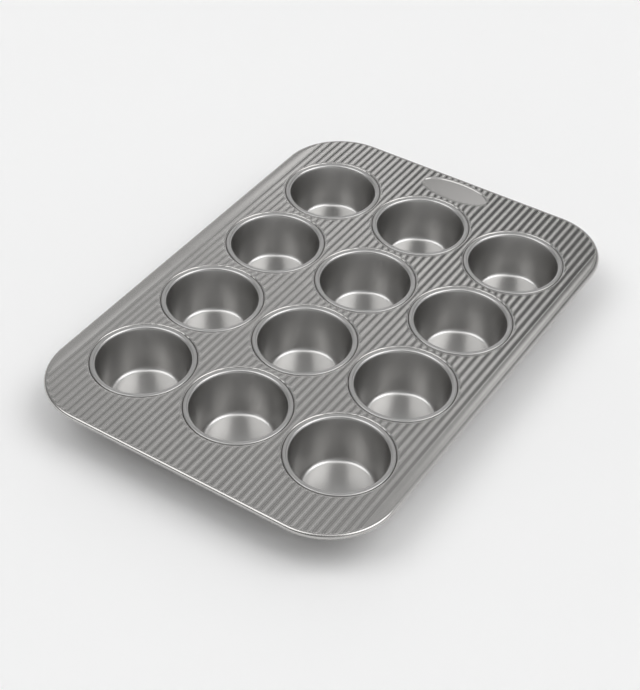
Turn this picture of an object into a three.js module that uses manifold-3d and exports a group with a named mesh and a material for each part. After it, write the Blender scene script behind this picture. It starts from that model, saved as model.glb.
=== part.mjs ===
// Twelve-cup muffin pan. A ribbed pressed sheet carries a rim rolled round a steel wire and twelve deep-drawn
// cups, each held by its own hemmed lip, which is crimped over a collar that stands up round its hole.
// Millimetres, +Z up. The cup floors stand on Z = 0, the pan is centred on X and Y, and Y runs lengthwise.
import * as THREE from 'three';
import { mergeVertices } from 'three/addons/utils/BufferGeometryUtils.js';
import Module from 'manifold-3d';

// Driving dimensions of the whole pan
const CUPS_ACROSS = 3;
const CUPS_ALONG = 4;
const CUP_PITCH = 84;
const PAN_HEIGHT = 35;
const SIDE_BORDER = 18.15;
const END_BORDER = 35.15;
const CORNER_RADIUS = 52;

// Driving dimensions of a cup
const CUP_OPENING_DIAMETER = 69.4;
const CUP_FLOOR_DIAMETER = 47;
const FLOOR_FILLET = 4;
const CUP_GAUGE = 0.5;
const LIP_WIDTH = 4.15;
const LIP_DROP = 2.25;
const LIP_CHAMFER = 0.5;
const LIP_BELOW_RIBS = 0.15;

// Driving dimensions of the sheet, its ribs and its wired rim
const SHEET_GAUGE = 0.6;
const RIB_PITCH = 5.63;
const RIB_HEIGHT = 0.5;
const EDGE_STRIP = 8.5;
const LIP_CREVICE = 0.4;
const RIM_OVERLAP = 0.4;
const RIM_TRIM_SHARE = 0.85;
const RIM_TURN = 285;
const WIRE_DIAMETER = 2.2;

// Clearances between pieces
const SEAM_CLEARANCE = 0.3;
const WIRE_CLEARANCE = 0.4;

// Facets
const WELD_TOLERANCE = 1e-4;
const CUP_SEGMENTS = 20;
const FILLET_SEGMENTS = 2;
const OUTER_FILLET_SEGMENTS = 1;
const CORNER_SEGMENTS = 5;
const CURL_SEGMENTS = 5;
const WIRE_SIDES = 6;

// The hemmed lip: the cup wall turned flat outward and down again, with a hollow below it
const cupRadius = CUP_OPENING_DIAMETER / 2;
const lipOuterRadius = cupRadius + LIP_WIDTH;
const lipTop = PAN_HEIGHT - LIP_BELOW_RIBS;
const lipBottom = lipTop - LIP_DROP;
const lipHollowTop = lipTop - CUP_GAUGE;

// The seat pressed round each hole of the sheet: a wall, a flat ring below the lip and the upright collar
const seatRadius = lipOuterRadius + LIP_CREVICE;
const seatWallRadius = seatRadius + SHEET_GAUGE;
const seatTop = lipBottom - SEAM_CLEARANCE;
const seatBottom = seatTop - SHEET_GAUGE;
const collarInnerRadius = (cupRadius + lipOuterRadius - SHEET_GAUGE) / 2;
const collarOuterRadius = collarInnerRadius + SHEET_GAUGE;
const collarTop = lipHollowTop - SEAM_CLEARANCE;

// Levels of the ribbed sheet
const ribCrest = PAN_HEIGHT;
const ribTrough = ribCrest - RIB_HEIGHT;
const sheetTop = (ribCrest + ribTrough) / 2;
const sheetMiddle = sheetTop - SHEET_GAUGE / 2;

// Outline of the pan and the rolled rim that follows it
const halfWidth = ((CUPS_ACROSS - 1) * CUP_PITCH) / 2 + seatWallRadius + SIDE_BORDER;
const halfLength = ((CUPS_ALONG - 1) * CUP_PITCH) / 2 + seatWallRadius + END_BORDER;
const curlCavityRadius = WIRE_DIAMETER / 2 + WIRE_CLEARANCE;
const curlRadius = curlCavityRadius + SHEET_GAUGE;
const curlCentreZ = sheetTop - curlRadius;

const wasm = await Module();
wasm.setup();

// Drops all but the positions, joins shared vertices and leaves out triangles that have no area
function weld(geometry) {
  const bare = new THREE.BufferGeometry();
  bare.setAttribute('position', geometry.getAttribute('position'));
  bare.setIndex(geometry.getIndex());
  const joined = mergeVertices(bare, WELD_TOLERANCE);
  const corners = joined.getIndex().array;
  const kept = [];
  for (let i = 0; i < corners.length; i += 3) {
    const [a, b, c] = [corners[i], corners[i + 1], corners[i + 2]];
    if (a !== b && b !== c && c !== a) {
      kept.push(a, b, c);
    }
  }
  joined.setIndex(kept);
  return joined;
}

function toManifold(geometry) {
  const joined = weld(geometry);
  const vertProperties = new Float32Array(joined.getAttribute('position').array);
  const triVerts = new Uint32Array(joined.getIndex().array);
  return new wasm.Manifold(new wasm.Mesh({ numProp: 3, vertProperties, triVerts }));
}

function toGeometry(manifold) {
  const mesh = manifold.getMesh();
  const geometry = new THREE.BufferGeometry();
  geometry.setAttribute('position', new THREE.BufferAttribute(mesh.vertProperties, 3));
  geometry.setIndex(new THREE.BufferAttribute(mesh.triVerts, 1));
  return geometry;
}

// Points on an arc of a profile, both ends included, with angles in degrees
function arc(centre, radius, from, to, segments) {
  const points = [];
  for (let i = 0; i <= segments; i += 1) {
    const angle = THREE.MathUtils.degToRad(from + ((to - from) * i) / segments);
    points.push(new THREE.Vector2(centre.x + radius * Math.cos(angle), centre.y + radius * Math.sin(angle)));
  }
  return points;
}

// A profile of radius and height, counter-clockwise, turned about the Z axis
function revolve(profile) {
  return new THREE.LatheGeometry(profile, CUP_SEGMENTS).rotateX(Math.PI / 2);
}

// The pan's rounded outline moved outward by an offset, counter-clockwise, always with as many points
function outline(offset) {
  const radius = CORNER_RADIUS + offset;
  const x = halfWidth - CORNER_RADIUS;
  const y = halfLength - CORNER_RADIUS;
  const corners = [[x, y], [-x, y], [-x, -y], [x, -y]];
  return corners.flatMap(([cx, cy], i) => {
    return arc(new THREE.Vector2(cx, cy), radius, 90 * i, 90 * (i + 1), CORNER_SEGMENTS);
  });
}

// A closed section of offset and height, counter-clockwise, carried once round the outline
function sweepRound(section) {
  const loops = section.map((point) => outline(point.x));
  const count = loops[0].length;
  const positions = [];
  const triangles = [];
  loops.forEach((loop, j) => loop.forEach((point) => positions.push(point.x, point.y, section[j].y)));
  for (let j = 0; j < loops.length; j += 1) {
    const next = (j + 1) % loops.length;
    for (let i = 0; i < count; i += 1) {
      const ahead = (i + 1) % count;
      triangles.push(j * count + i, j * count + ahead, next * count + ahead);
      triangles.push(j * count + i, next * count + ahead, next * count + i);
    }
  }
  const geometry = new THREE.BufferGeometry();
  geometry.setAttribute('position', new THREE.Float32BufferAttribute(positions, 3));
  geometry.setIndex(triangles);
  return geometry;
}

function cupCentres() {
  const centres = [];
  for (let row = 0; row < CUPS_ALONG; row += 1) {
    for (let column = 0; column < CUPS_ACROSS; column += 1) {
      const x = (column - (CUPS_ACROSS - 1) / 2) * CUP_PITCH;
      const y = (row - (CUPS_ALONG - 1) / 2) * CUP_PITCH;
      centres.push(new THREE.Vector3(x, y, 0));
    }
  }
  return centres;
}

// One deep-drawn cup: flat floor, filleted foot, tapered wall and the lip hemmed outward
function cupGeometry() {
  const filletCentre = new THREE.Vector2(CUP_FLOOR_DIAMETER / 2, CUP_GAUGE + FLOOR_FILLET);
  const wallTop = new THREE.Vector2(cupRadius, lipTop - LIP_CHAMFER);
  const toTop = wallTop.clone().sub(filletCentre);
  const taper = THREE.MathUtils.radToDeg(toTop.angle() - Math.acos(FLOOR_FILLET / toTop.length()));
  const profile = [
    new THREE.Vector2(0, 0),
    ...arc(filletCentre, FLOOR_FILLET + CUP_GAUGE, -90, taper, OUTER_FILLET_SEGMENTS),
    new THREE.Vector2(cupRadius + CUP_GAUGE, lipHollowTop),
    new THREE.Vector2(lipOuterRadius - CUP_GAUGE, lipHollowTop),
    new THREE.Vector2(lipOuterRadius - CUP_GAUGE, lipBottom),
    new THREE.Vector2(lipOuterRadius, lipBottom),
    new THREE.Vector2(lipOuterRadius, lipTop - LIP_CHAMFER),
    new THREE.Vector2(lipOuterRadius - LIP_CHAMFER, lipTop),
    new THREE.Vector2(cupRadius + LIP_CHAMFER, lipTop),
    wallTop,
    ...arc(filletCentre, FLOOR_FILLET, taper, -90, FILLET_SEGMENTS),
    new THREE.Vector2(0, CUP_GAUGE),
  ];
  return weld(revolve(profile));
}

// The sheet pressed into ribs that run along Y, with plain strips down both long sides, cut to the outline
function ribbedField() {
  const ribs = Math.floor((2 * halfWidth - 2 * EDGE_STRIP) / RIB_PITCH);
  const firstRib = (-ribs * RIB_PITCH) / 2;
  const wave = [new THREE.Vector2(-halfWidth, sheetTop), new THREE.Vector2(firstRib, sheetTop)];
  for (let i = 0; i < ribs; i += 1) {
    wave.push(new THREE.Vector2(firstRib + (i + 0.25) * RIB_PITCH, ribCrest));
    wave.push(new THREE.Vector2(firstRib + (i + 0.75) * RIB_PITCH, ribTrough));
  }
  wave.push(new THREE.Vector2(-firstRib, sheetTop), new THREE.Vector2(halfWidth, sheetTop));
  const underside = wave.map((point) => new THREE.Vector2(point.x, point.y - SHEET_GAUGE)).reverse();
  const pressed = new THREE.ExtrudeGeometry(new THREE.Shape([...underside, ...wave].reverse()), {
    depth: 2 * halfLength,
    bevelEnabled: false,
  });
  pressed.rotateX(Math.PI / 2).translate(0, halfLength, 0);
  const cut = outline(-curlRadius - RIM_TRIM_SHARE * RIM_OVERLAP);
  const trim = new THREE.ExtrudeGeometry(new THREE.Shape(cut), {
    depth: 2 * PAN_HEIGHT,
    bevelEnabled: false,
  });
  return toManifold(pressed).intersect(toManifold(trim));
}

// The rim: the sheet's edge rolled down and back under, with a feathered edge that runs into the ribbed sheet
function rolledRim() {
  const centre = new THREE.Vector2(-curlRadius, curlCentreZ);
  const section = [
    new THREE.Vector2(-curlRadius - RIM_OVERLAP, sheetMiddle),
    ...arc(centre, curlCavityRadius, 90, 90 - RIM_TURN, CURL_SEGMENTS),
    ...arc(centre, curlRadius, 90 - RIM_TURN, 90, CURL_SEGMENTS),
  ];
  return toManifold(sweepRound(section));
}

// The block of sheet metal that each seat is pressed from, reaching up into the ribs
function seatBlank() {
  const profile = [
    new THREE.Vector2(0, seatBottom),
    new THREE.Vector2(seatWallRadius, seatBottom),
    new THREE.Vector2(seatWallRadius, sheetMiddle),
    new THREE.Vector2(0, sheetMiddle),
  ];
  return revolve(profile);
}

// The space above the seat and through its hole, which leaves the collar standing
function seatOpening() {
  const below = seatBottom - SHEET_GAUGE;
  const above = ribCrest + SHEET_GAUGE;
  const profile = [
    new THREE.Vector2(0, below),
    new THREE.Vector2(collarInnerRadius, below),
    new THREE.Vector2(collarInnerRadius, collarTop),
    new THREE.Vector2(collarOuterRadius, collarTop),
    new THREE.Vector2(collarOuterRadius, seatTop),
    new THREE.Vector2(seatRadius, seatTop),
    new THREE.Vector2(seatRadius, above),
    new THREE.Vector2(0, above),
  ];
  return revolve(profile);
}

function sheetGeometry(centres) {
  let sheet = ribbedField().add(rolledRim());
  const blank = toManifold(seatBlank());
  const opening = toManifold(seatOpening());
  centres.forEach((centre) => {
    sheet = sheet.add(blank.translate(centre.toArray()));
  });
  centres.forEach((centre) => {
    sheet = sheet.subtract(opening.translate(centre.toArray()));
  });
  return toGeometry(sheet);
}

// The steel wire that the rim is rolled round
function wireGeometry() {
  const centre = new THREE.Vector2(-curlRadius, curlCentreZ);
  return sweepRound(arc(centre, WIRE_DIAMETER / 2, 0, 360 - 360 / WIRE_SIDES, WIRE_SIDES - 1));
}

const sheetMetal = new THREE.MeshStandardMaterial({ color: 0x8b8986, roughness: 0.38, metalness: 1 });
const cupMetal = new THREE.MeshStandardMaterial({ color: 0x94928f, roughness: 0.28, metalness: 1 });
const wireMetal = new THREE.MeshStandardMaterial({ color: 0x6f6e6c, roughness: 0.45, metalness: 1 });

function named(name, geometry, material) {
  const mesh = new THREE.Mesh(geometry, material);
  mesh.name = name;
  return mesh;
}

const pan = new THREE.Group();
const centres = cupCentres();
pan.add(named('frame_sheet', sheetGeometry(centres), sheetMetal));
pan.add(named('rim_wire', wireGeometry(), wireMetal));
const cupShape = cupGeometry();
centres.forEach((centre, i) => {
  const cup = named(`cup_${String(i + 1).padStart(2, '0')}`, cupShape, cupMetal);
  cup.position.copy(centre);
  pan.add(cup);
});

export default pan;
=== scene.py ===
"""Muffin pan: a ribbed deck with a rolled wired rim and twelve drawn cups, on a white studio floor.

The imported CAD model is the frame. The deck and the cups are remade here as fine smooth sheets in the same
places, because the CAD solids are faceted; the hidden rim wire stays as it is and gets a material.
Lengths are in metres, +Z is up, and the pan's long side runs along Y.
"""

import math
from collections import namedtuple

import bmesh
import bpy
import numpy as np
from mathutils import Matrix, Vector
from mathutils.geometry import delaunay_2d_cdt


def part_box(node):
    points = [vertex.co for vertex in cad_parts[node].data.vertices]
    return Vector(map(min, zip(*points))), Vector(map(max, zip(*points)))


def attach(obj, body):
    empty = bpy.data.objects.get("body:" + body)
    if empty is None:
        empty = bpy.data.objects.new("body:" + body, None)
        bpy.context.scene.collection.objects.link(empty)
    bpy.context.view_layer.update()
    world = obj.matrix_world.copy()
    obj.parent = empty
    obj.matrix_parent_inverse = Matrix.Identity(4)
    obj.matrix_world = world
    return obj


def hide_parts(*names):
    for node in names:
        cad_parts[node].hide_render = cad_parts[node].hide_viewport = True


MM = 0.001

# Sizes shared with the CAD model
SHEET_GAUGE = 0.6 * MM
CUP_GAUGE = 0.5 * MM
RIB_PITCH = 5.63 * MM
RIB_HEIGHT = 0.5 * MM
RIB_SHIFT = 1.1 * MM
EDGE_STRIP = 8.5 * MM
CORNER_RADIUS = 52 * MM
CURL_RADIUS = 2.1 * MM
CURL_TURN = math.radians(285)
CUP_FLOOR_RADIUS = 23.5 * MM
FLOOR_FILLET = 4 * MM
LIP_WIDTH = 4.15 * MM
LIP_DROP = 2.25 * MM
SEAM_CLEARANCE = 0.3 * MM

# Rounding and close seams that only the fine sheets have
LIP_CREVICE = 0.15 * MM
LIP_INNER_ROUND = 2.1 * MM
LIP_OUTER_ROUND = 0.9 * MM
SEAT_SHOULDER = 1.3 * MM
SEAT_FILLET = 0.4 * MM

# Bands where the ribs run out: at the rim to nothing, at a seat to a share of their height
RIM_BAND = 4 * MM
RIB_FADE = 1.1 * MM
SEAT_BAND = 3 * MM
SEAT_RIBS = 0.35

# The bare oval pad pressed into the deck beside the far short edge
PAD_CENTRE = (0.0, 182.6 * MM)
PAD_HALF_LENGTH = 31.3 * MM
PAD_HALF_WIDTH = 13.8 * MM
PAD_BEAD_WIDTH = 2.2 * MM
PAD_MARGIN = 0.8 * MM
PAD_FIELD_INSETS = (0.2 * MM, 0.6 * MM)

# How finely the sheets are drawn
LINES_PER_RIB = 8
CUP_SEGMENTS = 144
CUP_FLOOR_RINGS = (0.15, 0.4, 0.65, 0.9)
FLOOR_FILLET_STEPS = 10
CUP_WALL_STEPS = 8
LIP_STEPS = 8
CURL_STEPS = 20
RIM_FADE_STEPS = 5
SEAT_FADE_STEPS = 4
SEAT_SHOULDER_STEPS = 5
SEAT_FILLET_STEPS = 4
PAD_MARGIN_STEPS = 3
PAD_BEAD_STEPS = 12
SEAT_STEP = math.radians(4)
CORNER_STEP = math.radians(2)
SIDE_STEP = 10 * MM

# Tolerances: loop points that lie close, lines that graze a curve, points on a line, vertices that meet
ANGLE_GAP = 1e-3
LENGTH_GAP = 1e-6
ROUNDING_SLACK = 1e-6
GRAZING_COSINE = 0.9995
ON_LINE = 1e-7
MERGE_DISTANCE = 2e-6

# The plan of the deck is cut into triangles in millimetres
PLAN_TOLERANCE = 1e-6
ALL_TRIANGLES = 0

# Metal finishes: how strong the mottling and the grain are, and how fine the grain is along each axis
Finish = namedtuple("Finish", "colour roughness mottle grain grain_scale")
DECK_FINISH = Finish((0.52, 0.511, 0.498), 0.2, 0.02, 0.1, (2400, 2400, 2400))
CUP_FINISH = Finish((0.535, 0.53, 0.522), 0.3, 0.015, 0.05, (25, 25, 800))
WIRE_FINISH = Finish((0.42, 0.415, 0.41), 0.45, 0.06, 0.3, (2400, 2400, 2400))
MOTTLE_SCALE = 60.0
MOTTLE_DETAIL = 4.0
MOTTLE_STOPS = (0.3, 0.7)
GLOSS_STOPS = (0.25, 0.75)
GLOSS_SPREAD = 0.03
GRAIN_DETAIL = 2.0
GRAIN_DEPTH = 0.05 * MM

# The studio floor, which rises far off into a backdrop
FLOOR_REACH = 20.0
FLOOR_GREYS = (0.975, 0.985)
FLOOR_ROUGHNESS = 0.9
FLOOR_MOTTLE_SCALE = 3.0
BACKDROP_START = FLOOR_REACH / 4
BACKDROP_ROUND = 3.0
BACKDROP_HEIGHT = 6.0
BACKDROP_SEGMENTS = 64
BACKDROP_ROUND_STEPS = 12
BACKDROP_WHITE = 0.89

# The photograph's camera, with the picture 640 by 690 pixels
PICTURE_HEIGHT = 690
FOCAL_PIXELS = 1503.6
SENSOR = 36.0
CAMERA_AZIMUTH = math.radians(32.35)
CAMERA_ELEVATION = math.radians(41.66)
CAMERA_ROLL = math.radians(1.32)
CAMERA_DISTANCE = 1.1
CAMERA_TARGET = Vector((12.8 * MM, -41.1 * MM, 35 * MM))
CAMERA_CLIP = (0.01, 100)

# Studio places, in degrees from the camera's side turning right, and from the floor up.
# The grey of the studio falls off towards a shaded place, between two cosines of the angle to it.
SHADE_PLACE = (-70, 15)
SHADE_COSINES = (0.1, 0.9)
STUDIO_GREY = 0.52
SHADE_GREY = 0.1

# Soft-edged cards behind the pan, pale ones first: the edge runs from the inner to the outer angle
Card = namedtuple("Card", "azimuth elevation inner outer level")
STUDIO_CARDS = [
    Card(-170, 16, 3, 6, 1.5),
    Card(-175, 27, 3, 6, 1.3),
    Card(-162, 29, 2, 5, 1.0),
    Card(173, 39, 3, 6, 1.4),
    Card(157, 45, 2, 5, 0.7),
    Card(177, 32, 3, 6, 0.1),
    Card(160, 40, 4, 8, 0.05),
    Card(146, 42, 4, 8, 0.08),
    Card(151, 50, 2, 5, 0.25),
    Card(161, 58, 3, 6, 0.2),
]

# Far round softboxes: how wide each looks, in degrees, and how bright its face is
Softbox = namedtuple("Softbox", "name azimuth elevation width level")
STUDIO_LAMPS = [
    Softbox("left_softbox", -83, 59, 44, 1.85),
    Softbox("right_softbox", 81, 58, 43, 2.1),
    Softbox("top_softbox", 180, 88, 20, 1.2),
]

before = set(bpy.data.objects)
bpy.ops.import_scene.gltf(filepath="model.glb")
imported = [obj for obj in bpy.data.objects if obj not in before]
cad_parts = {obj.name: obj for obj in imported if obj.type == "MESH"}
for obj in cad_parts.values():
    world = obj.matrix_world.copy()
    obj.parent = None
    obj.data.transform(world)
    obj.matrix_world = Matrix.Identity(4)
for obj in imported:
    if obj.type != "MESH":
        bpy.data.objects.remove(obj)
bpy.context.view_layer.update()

# Places that follow from the frame
CUP_NODES = sorted(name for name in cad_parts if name.startswith("cup_"))
CUP_BOXES = {name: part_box(name) for name in CUP_NODES}
CUP_CENTRES = {name: (low + high) / 2 for name, (low, high) in CUP_BOXES.items()}
CUP_LOW, CUP_HIGH = CUP_BOXES[CUP_NODES[0]]
SHEET_LOW, SHEET_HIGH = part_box("frame_sheet")
HALF_WIDTH = (SHEET_HIGH.x - SHEET_LOW.x) / 2
HALF_LENGTH = (SHEET_HIGH.y - SHEET_LOW.y) / 2
DECK_LEVEL = SHEET_HIGH.z - RIB_HEIGHT / 2
LIP_TOP = CUP_HIGH.z
LIP_OUTER = (CUP_HIGH.x - CUP_LOW.x) / 2
CUP_RADIUS = LIP_OUTER - LIP_WIDTH
SEAT_RADIUS = LIP_OUTER + LIP_CREVICE
SEAT_TOP = LIP_TOP - LIP_DROP - SEAM_CLEARANCE
SEAT_LOOP = SEAT_RADIUS + SEAT_BAND
COLLAR_RADIUS = CUP_RADIUS + LIP_WIDTH / 2 + SHEET_GAUGE / 2
COLLAR_TOP = LIP_TOP - CUP_GAUGE - SEAM_CLEARANCE
RIB_COUNT = math.floor((2 * HALF_WIDTH - 2 * EDGE_STRIP) / RIB_PITCH)
FIRST_RIB = RIB_SHIFT - RIB_COUNT * RIB_PITCH / 2
LAST_RIB = FIRST_RIB + RIB_COUNT * RIB_PITCH


def smooth_step(low, high, value):
    """Share from 0 at low to 1 at high, level at both ends."""
    share = np.clip((value - low) / (high - low), 0.0, 1.0)
    return share * share * (3 - 2 * share)


def rib_wave(x):
    """Height of the pressed ribs above the deck's flat level, and none on the plain side strips."""
    inside = (x > FIRST_RIB) & (x < LAST_RIB)
    return np.where(inside, RIB_HEIGHT / 2 * np.sin(2 * math.pi * (x - FIRST_RIB) / RIB_PITCH), 0.0)


def rib_lines():
    """The x of every line along which the deck is drawn, several to a rib."""
    return FIRST_RIB + np.arange(RIB_COUNT * LINES_PER_RIB + 1) * RIB_PITCH / LINES_PER_RIB


def arc(centre, radius, start, stop, steps):
    """Points of a profile on an arc, both ends included, angles in degrees."""
    angles = np.radians(np.linspace(start, stop, steps + 1))
    return [(centre[0] + radius * math.cos(a), centre[1] + radius * math.sin(a)) for a in angles]


def column(x, y, z):
    """Points in rows from their coordinates, with z alike for all or one for each."""
    return np.column_stack([x, y, np.broadcast_to(z, np.shape(x))])


def turned(profile, segments):
    """Rings of points, one for each radius and height of a profile turned about Z."""
    angles = np.linspace(0, 2 * math.pi, segments, endpoint=False)
    return [column(radius * np.cos(angles), radius * np.sin(angles), height) for radius, height in profile]


def spread(values, step, gap):
    """Sorted values with none closer than gap, and evenly filled where two lie further apart than step."""
    values = sorted(values)
    kept = [values[0]]
    for value in values[1:]:
        if value - kept[-1] < gap:
            continue
        pieces = math.ceil((value - kept[-1]) / step - ROUNDING_SLACK)
        kept.extend(np.linspace(kept[-1], value, pieces + 1)[1:])
    return np.array(kept)


def ellipse_angles(centre_x, half_width):
    """Angles round an ellipse that meet every deck line, with the gaps between them filled."""
    cosines = (rib_lines() - centre_x) / half_width
    upper = np.arccos(cosines[np.abs(cosines) < GRAZING_COSINE])
    turn = 2 * math.pi
    return spread([0.0, math.pi, turn, *upper, *(turn - upper)], SEAT_STEP, ANGLE_GAP)[:-1]


def outline_points(inset):
    """The pan's rounded outline, inset, as points with their outward directions.

    The points meet every deck line.
    """
    radius = CORNER_RADIUS - inset
    corner_x = HALF_WIDTH - CORNER_RADIUS
    corner_y = HALF_LENGTH - CORNER_RADIUS
    lines = rib_lines()

    def quarter(sign):
        cosines = (sign * lines - corner_x) / radius
        crossings = np.arccos(cosines[(cosines > 0) & (cosines < GRAZING_COSINE)])
        return spread([0.0, math.pi / 2, *crossings], CORNER_STEP, ANGLE_GAP)

    def corner(sign_x, sign_y, angles):
        return [(sign_x * (corner_x + radius * math.cos(a)), sign_y * (corner_y + radius * math.sin(a)),
                 sign_x * math.cos(a), sign_y * math.sin(a)) for a in angles]

    right = quarter(1)
    left = quarter(-1)
    side = spread([-corner_y, corner_y], SIDE_STEP, LENGTH_GAP)[1:-1]
    end = spread([-corner_x, corner_x, *lines[np.abs(lines) < corner_x]], SIDE_STEP, LENGTH_GAP)[1:-1]
    edge_x = corner_x + radius
    edge_y = corner_y + radius
    points = [(edge_x, y, 1, 0) for y in side] + corner(1, 1, right)
    points += [(x, edge_y, 0, 1) for x in end[::-1]] + corner(-1, 1, left[::-1])
    points += [(-edge_x, y, -1, 0) for y in side[::-1]] + corner(-1, -1, left)
    points += [(x, -edge_y, 0, -1) for x in end] + corner(1, -1, right[::-1])
    return np.array(points)


class SheetBuilder:
    """Collects the vertices and faces of one sheet."""

    def __init__(self):
        self.vertices = []
        self.faces = []

    def add_row(self, points):
        """Adds points and returns their numbers."""
        first = len(self.vertices)
        self.vertices.extend(map(tuple, points))
        return np.arange(first, first + len(points))

    def add_bands(self, rows, flipped=False):
        """Closed bands of four-sided faces between rows of equal length; returns the rows' numbers."""
        indices = [self.add_row(row) for row in rows]
        for first, second in zip(indices, indices[1:]):
            low, high = (second, first) if flipped else (first, second)
            self.faces.extend(zip(low, np.roll(low, -1), np.roll(high, -1), high))
        return indices

    def add_fan(self, row, point):
        """Closes a row with triangles that meet at a point."""
        hub = self.add_row([point])[0]
        self.faces.extend((a, b, hub) for a, b in zip(row, np.roll(row, -1)))

    def mesh(self, name):
        """The sheet as a mesh."""
        mesh = bpy.data.meshes.new(name)
        mesh.from_pydata(self.vertices, [], [tuple(int(i) for i in face) for face in self.faces])
        mesh.update()
        return mesh


def add_seat(sheet, centre):
    """The pressed seat of one cup, from the ribbed deck in to the collar; returns its outer plan loop."""
    angles = ellipse_angles(centre.x, SEAT_LOOP)

    def ring(radius):
        return centre.x + radius * np.cos(angles), centre.y + radius * np.sin(angles)

    shoulder = SEAT_RADIUS + SEAT_SHOULDER
    rows = []
    for radius in np.linspace(SEAT_LOOP, shoulder, SEAT_FADE_STEPS + 1):
        x, y = ring(radius)
        kept = SEAT_RIBS + (1 - SEAT_RIBS) * smooth_step(shoulder, SEAT_LOOP, radius)
        rows.append(column(x, y, DECK_LEVEL + rib_wave(x) * kept))
    shoulder_height = DECK_LEVEL + rib_wave(ring(shoulder)[0]) * SEAT_RIBS - SEAT_SHOULDER
    for radius, rise in arc((shoulder, 0), SEAT_SHOULDER, 90, 180, SEAT_SHOULDER_STEPS)[1:]:
        rows.append(column(*ring(radius), shoulder_height + rise))
    fillet_height = SEAT_TOP + SEAT_FILLET
    wall_fillet = (SEAT_RADIUS - SEAT_FILLET, fillet_height)
    collar_fillet = (COLLAR_RADIUS + SEAT_FILLET, fillet_height)
    profile = arc(wall_fillet, SEAT_FILLET, 0, -90, SEAT_FILLET_STEPS)
    profile += arc(collar_fillet, SEAT_FILLET, -90, -180, SEAT_FILLET_STEPS)
    profile += [(COLLAR_RADIUS, COLLAR_TOP)]
    rows += [column(*ring(radius), height) for radius, height in profile]
    sheet.add_bands(rows)
    return rows[0][:, :2]


def bead_lift(share):
    """The bead across its width: up from the deck's level to 1, then down to the field at -1."""
    if share < 0.5:
        return math.sin(math.pi * share) ** 2
    return -math.cos(2 * math.pi * share)


def add_pad(sheet):
    """The bare oval pad: a bead round a flat field at the ribs' foot; returns its outer plan loop."""
    angles = ellipse_angles(PAD_CENTRE[0], PAD_HALF_LENGTH)

    def ring(inset):
        x = PAD_CENTRE[0] + (PAD_HALF_LENGTH - inset) * np.cos(angles)
        y = PAD_CENTRE[1] + (PAD_HALF_WIDTH - inset) * np.sin(angles)
        return x, y

    field_level = DECK_LEVEL - RIB_HEIGHT / 2
    rows = []
    for inset in np.linspace(0, PAD_MARGIN, PAD_MARGIN_STEPS + 1):
        x, y = ring(inset)
        kept = 1 - smooth_step(0, PAD_MARGIN, inset)
        rows.append(column(x, y, DECK_LEVEL + rib_wave(x) * kept))
    for share in np.linspace(0, 1, PAD_BEAD_STEPS + 1)[1:]:
        height = DECK_LEVEL + RIB_HEIGHT / 2 * bead_lift(share)
        rows.append(column(*ring(PAD_MARGIN + share * PAD_BEAD_WIDTH), height))
    for inset in PAD_FIELD_INSETS:
        rows.append(column(*ring(PAD_MARGIN + PAD_BEAD_WIDTH + inset), field_level))
    indices = sheet.add_bands(rows)
    sheet.add_fan(indices[-1], (*PAD_CENTRE, field_level))
    return rows[0][:, :2]


def add_rim(sheet):
    """The band where the ribs run out and the edge rolled down and under; returns its inner plan loop."""
    points = outline_points(RIM_BAND)
    base = points[:, :2]
    outward = points[:, 2:]
    fading = np.linspace(CURL_RADIUS + RIB_FADE, CURL_RADIUS, RIM_FADE_STEPS + 1)
    rows = []
    for inset in [RIM_BAND, *fading]:
        x, y = (base + outward * (RIM_BAND - inset)).T
        kept = smooth_step(CURL_RADIUS, CURL_RADIUS + RIB_FADE, inset)
        rows.append(column(x, y, DECK_LEVEL + rib_wave(x) * kept))
    for step in range(1, CURL_STEPS + 1):
        angle = math.pi / 2 - CURL_TURN * step / CURL_STEPS
        reach = RIM_BAND - CURL_RADIUS + CURL_RADIUS * math.cos(angle)
        x, y = (base + outward * reach).T
        rows.append(column(x, y, DECK_LEVEL - CURL_RADIUS + CURL_RADIUS * math.sin(angle)))
    sheet.add_bands(rows, flipped=True)
    return rows[0][:, :2]


def add_field(sheet, border, holes):
    """The ribbed deck between the rim, the seats and the pad: long faces that follow the ribs."""
    loops = [border, *holes]
    starts = np.cumsum([0] + [len(loop) for loop in loops])
    points = np.vstack(loops)
    polygons = [list(range(a, b)) for a, b in zip(starts, starts[1:])]
    edges = []
    for x in rib_lines():
        on_line = np.flatnonzero(np.abs(points[:, 0] - x) < ON_LINE)
        on_line = on_line[np.argsort(points[on_line, 1])]
        edges.extend((int(a), int(b)) for a, b in zip(on_line[0::2], on_line[1::2]))
    plan = [Vector(point / MM) for point in points]
    cut = delaunay_2d_cdt(plan, edges, polygons, ALL_TRIANGLES, PLAN_TOLERANCE, True)
    found, _, triangles, _, _, owners = cut
    xy = np.array(found) * MM
    row = sheet.add_row(column(xy[:, 0], xy[:, 1], DECK_LEVEL + rib_wave(xy[:, 0])))
    for triangle, owner in zip(triangles, owners):
        if list(owner) == [0]:
            sheet.faces.append(tuple(row[list(triangle)]))


def merge_and_smooth(mesh):
    """Joins vertices that meet, drops those without a face and shades all faces smooth."""
    work = bmesh.new()
    work.from_mesh(mesh)
    bmesh.ops.remove_doubles(work, verts=work.verts, dist=MERGE_DISTANCE)
    loose = [vertex for vertex in work.verts if not vertex.link_faces]
    bmesh.ops.delete(work, geom=loose, context="VERTS")
    for face in work.faces:
        face.smooth = True
    work.to_mesh(mesh)
    work.free()


def place(name, mesh, gauge, nodes, location=(0, 0, 0)):
    """A shown sheet of one gauge that rides on the pan and stands for its CAD nodes."""
    piece = bpy.data.objects.new(name, mesh)
    bpy.context.scene.collection.objects.link(piece)
    piece.location = location
    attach(piece, "root")
    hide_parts(*nodes)
    thickness = piece.modifiers.new("gauge", "SOLIDIFY")
    thickness.thickness = gauge
    thickness.offset = -1


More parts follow.
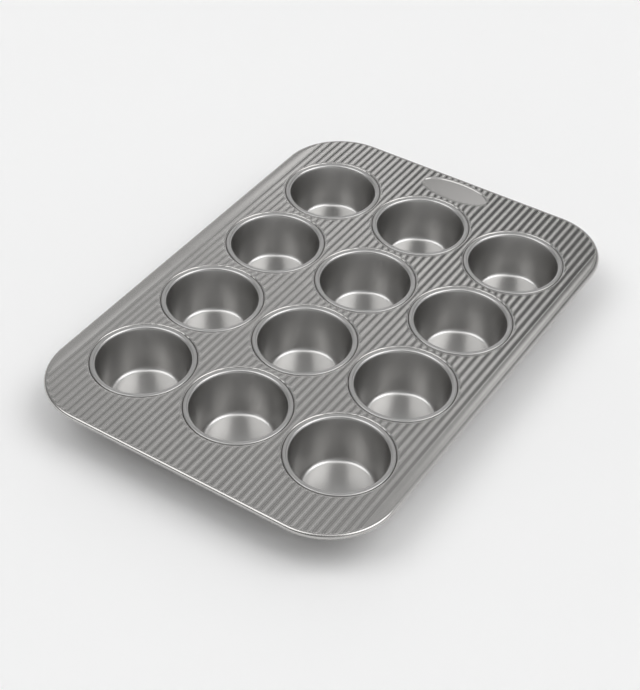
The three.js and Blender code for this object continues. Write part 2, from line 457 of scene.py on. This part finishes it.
def make_deck(material):
    """The whole deck as one sheet."""
    sheet = SheetBuilder()
    border = add_rim(sheet)
    holes = [add_seat(sheet, CUP_CENTRES[name]) for name in CUP_NODES]
    holes.append(add_pad(sheet))
    add_field(sheet, border, holes)
    mesh = sheet.mesh("deck")
    merge_and_smooth(mesh)
    mesh.materials.append(material)
    place("deck", mesh, SHEET_GAUGE, ["frame_sheet"])


def cup_profile():
    """Radius and height along the cup's inside, from near the middle of its floor over the hemmed lip."""
    fillet_centre = (CUP_FLOOR_RADIUS, CUP_GAUGE + FLOOR_FILLET)
    inner_round = (CUP_RADIUS + LIP_INNER_ROUND, LIP_TOP - LIP_INNER_ROUND)
    outer_round = (LIP_OUTER - LIP_OUTER_ROUND, LIP_TOP - LIP_OUTER_ROUND)
    rise = (inner_round[0] - fillet_centre[0], inner_round[1] - fillet_centre[1])
    lean = math.asin((FLOOR_FILLET + LIP_INNER_ROUND) / math.hypot(*rise))
    slope = math.degrees(math.atan2(rise[1], rise[0]) + lean)
    profile = [(share * CUP_FLOOR_RADIUS, CUP_GAUGE) for share in CUP_FLOOR_RINGS]
    profile += arc(fillet_centre, FLOOR_FILLET, -90, slope - 90, FLOOR_FILLET_STEPS)
    lip = arc(inner_round, LIP_INNER_ROUND, slope + 90, 90, LIP_STEPS)
    foot = np.array(profile[-1])
    top = np.array(lip[0])
    profile += [tuple(foot + (top - foot) * share) for share in np.linspace(0, 1, CUP_WALL_STEPS + 1)[1:-1]]
    profile += lip + arc(outer_round, LIP_OUTER_ROUND, 90, 0, LIP_STEPS)
    profile.append((LIP_OUTER, LIP_TOP - LIP_DROP))
    return profile


def make_cups(material):
    """Twelve alike: one drawn sheet, used at each cup's place."""
    sheet = SheetBuilder()
    indices = sheet.add_bands(turned(cup_profile(), CUP_SEGMENTS), flipped=True)
    sheet.add_fan(indices[0], (0, 0, CUP_GAUGE))
    mesh = sheet.mesh("cup")
    merge_and_smooth(mesh)
    mesh.materials.append(material)
    for name in CUP_NODES:
        centre = CUP_CENTRES[name]
        place("drawn_" + name, mesh, CUP_GAUGE, [name], (centre.x, centre.y, 0))


class Nodes:
    """A short way to add and join shader nodes."""

    def __init__(self, owner):
        owner.use_nodes = True
        self.tree = owner.node_tree
        self.tree.nodes.clear()

    def add(self, kind, inputs=None, **settings):
        """A node with its settings; an input is a value or another node's output."""
        node = self.tree.nodes.new(kind)
        for key, value in settings.items():
            setattr(node, key, value)
        for key, value in (inputs or {}).items():
            if isinstance(value, bpy.types.NodeSocket):
                self.tree.links.new(value, node.inputs[key])
            else:
                node.inputs[key].default_value = value
        return node

    def combine(self, operation, first, second):
        """One number from two."""
        return self.add("ShaderNodeMath", {0: first, 1: second}, operation=operation).outputs["Value"]

    def noise(self, where, scale, detail):
        """Cloudy noise from 0 to 1."""
        inputs = {"Vector": where, "Scale": scale, "Detail": detail}
        return self.add("ShaderNodeTexNoise", inputs).outputs["Fac"]

    def remap(self, value, span, target, interpolation="LINEAR"):
        """A value in one span carried over to another."""
        inputs = {"Value": value, "From Min": span[0], "From Max": span[1],
                  "To Min": target[0], "To Max": target[1]}
        return self.add("ShaderNodeMapRange", inputs, interpolation_type=interpolation).outputs["Result"]

    def ramp(self, factor, positions, colours):
        """A colour that changes evenly between two."""
        node = self.add("ShaderNodeValToRGB", {"Fac": factor})
        for element, position, colour in zip(node.color_ramp.elements, positions, colours):
            element.position = position
            element.color = colour
        return node.outputs["Color"]


def grey(value):
    """A neutral colour."""
    return (value, value, value, 1)


def metal(name, finish):
    """Satin coated metal: a warm grey with faint mottling, uneven gloss and a fine grain."""
    material = bpy.data.materials.new(name)
    nodes = Nodes(material)
    where = nodes.add("ShaderNodeTexCoord").outputs["Object"]
    cloud = nodes.noise(where, MOTTLE_SCALE, MOTTLE_DETAIL)
    drawn = nodes.add("ShaderNodeMapping", {"Vector": where, "Scale": finish.grain_scale})
    speck = nodes.noise(drawn.outputs["Vector"], 1.0, GRAIN_DETAIL)
    dark = (*(channel * (1 - finish.mottle) for channel in finish.colour), 1)
    light = (*(channel * (1 + finish.mottle) for channel in finish.colour), 1)
    tint = nodes.ramp(cloud, MOTTLE_STOPS, (dark, light))
    glossy = finish.roughness * (1 - GLOSS_SPREAD)
    dull = finish.roughness * (1 + GLOSS_SPREAD)
    roughness = nodes.remap(cloud, GLOSS_STOPS, (glossy, dull))
    bump = nodes.add("ShaderNodeBump", {"Height": speck, "Strength": finish.grain, "Distance": GRAIN_DEPTH})
    shader = nodes.add("ShaderNodeBsdfPrincipled", {"Base Color": tint, "Metallic": 1.0,
                                                   "Roughness": roughness,
                                                   "Normal": bump.outputs["Normal"]})
    nodes.add("ShaderNodeOutputMaterial", {"Surface": shader.outputs["BSDF"]})
    return material


def floor_paper():
    """Pale paper that turns far off, for the camera and in reflections, into an even white."""
    material = bpy.data.materials.new("studio_floor")
    nodes = Nodes(material)
    where = nodes.add("ShaderNodeTexCoord").outputs["Object"]
    cloud = nodes.add("ShaderNodeTexNoise", {"Vector": where, "Scale": FLOOR_MOTTLE_SCALE}).outputs["Fac"]
    tint = nodes.ramp(cloud, MOTTLE_STOPS, [grey(value) for value in FLOOR_GREYS])
    paper = nodes.add("ShaderNodeBsdfPrincipled", {"Base Color": tint, "Roughness": FLOOR_ROUGHNESS,
                                                  "Specular IOR Level": 0.0})
    glow = nodes.add("ShaderNodeEmission", {"Color": grey(1.0), "Strength": BACKDROP_WHITE})
    away = nodes.add("ShaderNodeVectorMath", {0: where}, operation="LENGTH").outputs["Value"]
    far = nodes.remap(away, (BACKDROP_START, FLOOR_REACH), (0.0, 1.0), "SMOOTHSTEP")
    ray = nodes.add("ShaderNodeLightPath").outputs
    seen = ray["Is Camera Ray"]
    for kind in ("Is Glossy Ray", "Is Transmission Ray"):
        seen = nodes.combine("MAXIMUM", seen, ray[kind])
    share = nodes.combine("MULTIPLY", far, seen)
    shader = nodes.add("ShaderNodeMixShader", {0: share, 1: paper.outputs["BSDF"],
                                               2: glow.outputs["Emission"]})
    nodes.add("ShaderNodeOutputMaterial", {"Surface": shader.outputs["Shader"]})
    return material


def make_floor():
    """A floor that keeps the pan's soft shadow, and far off rises into a backdrop of the same white."""
    round_centre = (FLOOR_REACH, BACKDROP_ROUND)
    profile = arc(round_centre, BACKDROP_ROUND, -90, 0, BACKDROP_ROUND_STEPS)
    profile.append((FLOOR_REACH + BACKDROP_ROUND, BACKDROP_HEIGHT))
    sheet = SheetBuilder()
    indices = sheet.add_bands(turned(profile, BACKDROP_SEGMENTS), flipped=True)
    sheet.faces.append(tuple(indices[0]))
    mesh = sheet.mesh("floor")
    mesh.materials.append(floor_paper())
    floor = bpy.data.objects.new("floor", mesh)
    bpy.context.scene.collection.objects.link(floor)


def heading(azimuth, elevation):
    """Unit vector that turns right from -Y and rises from the floor, angles in radians."""
    level = math.cos(elevation)
    return Vector((math.sin(azimuth) * level, -math.cos(azimuth) * level, math.sin(elevation)))


def studio_direction(azimuth, elevation):
    """Unit vector towards a place in the studio, in degrees from the camera's side."""
    return heading(CAMERA_AZIMUTH + math.radians(azimuth), math.radians(elevation))


def make_world():
    """A grey studio: darker low on the left, with soft-edged pale and dark cards behind the pan."""
    world = bpy.data.worlds.new("studio")
    bpy.context.scene.world = world
    nodes = Nodes(world)
    view = nodes.add("ShaderNodeTexCoord").outputs["Generated"]

    def closeness(azimuth, elevation):
        axis = studio_direction(azimuth, elevation)
        return nodes.add("ShaderNodeVectorMath", {0: view, 1: axis}, operation="DOT_PRODUCT").outputs["Value"]

    level = nodes.remap(closeness(*SHADE_PLACE), SHADE_COSINES, (STUDIO_GREY, SHADE_GREY))
    for card in STUDIO_CARDS:
        span = (math.cos(math.radians(card.outer)), math.cos(math.radians(card.inner)))
        cover = nodes.remap(closeness(card.azimuth, card.elevation), span, (0.0, 1.0), "SMOOTHSTEP")
        mixed = nodes.add("ShaderNodeMix", {"Factor": cover, "A": level, "B": card.level})
        level = mixed.outputs["Result"]
    background = nodes.add("ShaderNodeBackground", {"Color": grey(1.0), "Strength": level})
    nodes.add("ShaderNodeOutputWorld", {"Surface": background.outputs["Background"]})


def make_lamp(box):
    """A far round softbox, as a sun with the width and the face brightness of the box."""
    data = bpy.data.lights.new(box.name, "SUN")
    data.angle = math.radians(box.width)
    data.energy = box.level * math.pi * math.sin(data.angle / 2) ** 2
    lamp = bpy.data.objects.new(box.name, data)
    bpy.context.scene.collection.objects.link(lamp)
    lamp.rotation_mode = "QUATERNION"
    lamp.rotation_quaternion = studio_direction(box.azimuth, box.elevation).to_track_quat("Z", "Y")


def make_camera():
    """The photograph's camera."""
    data = bpy.data.cameras.new("camera")
    data.sensor_width = SENSOR
    data.lens = FOCAL_PIXELS * SENSOR / PICTURE_HEIGHT
    data.clip_start, data.clip_end = CAMERA_CLIP
    camera = bpy.data.objects.new("camera", data)
    bpy.context.scene.collection.objects.link(camera)
    back = heading(CAMERA_AZIMUTH, CAMERA_ELEVATION)
    level = Vector((math.cos(CAMERA_AZIMUTH), math.sin(CAMERA_AZIMUTH), 0))
    right = level * math.cos(CAMERA_ROLL) + back.cross(level) * math.sin(CAMERA_ROLL)
    up = back.cross(right)
    turn = Matrix((right, up, back)).transposed()
    camera.matrix_world = Matrix.Translation(CAMERA_TARGET + back * CAMERA_DISTANCE) @ turn.to_4x4()
    bpy.context.scene.camera = camera


def main():
    """The dressed pan, its studio and its camera."""
    bpy.context.scene.view_settings.view_transform = "Standard"
    make_deck(metal("deck_metal", DECK_FINISH))
    make_cups(metal("cup_metal", CUP_FINISH))
    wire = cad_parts["rim_wire"]
    wire.data.materials.clear()
    wire.data.materials.append(metal("wire_metal", WIRE_FINISH))
    make_floor()
    make_world()
    for box in STUDIO_LAMPS:
        make_lamp(box)
    make_camera()


main()
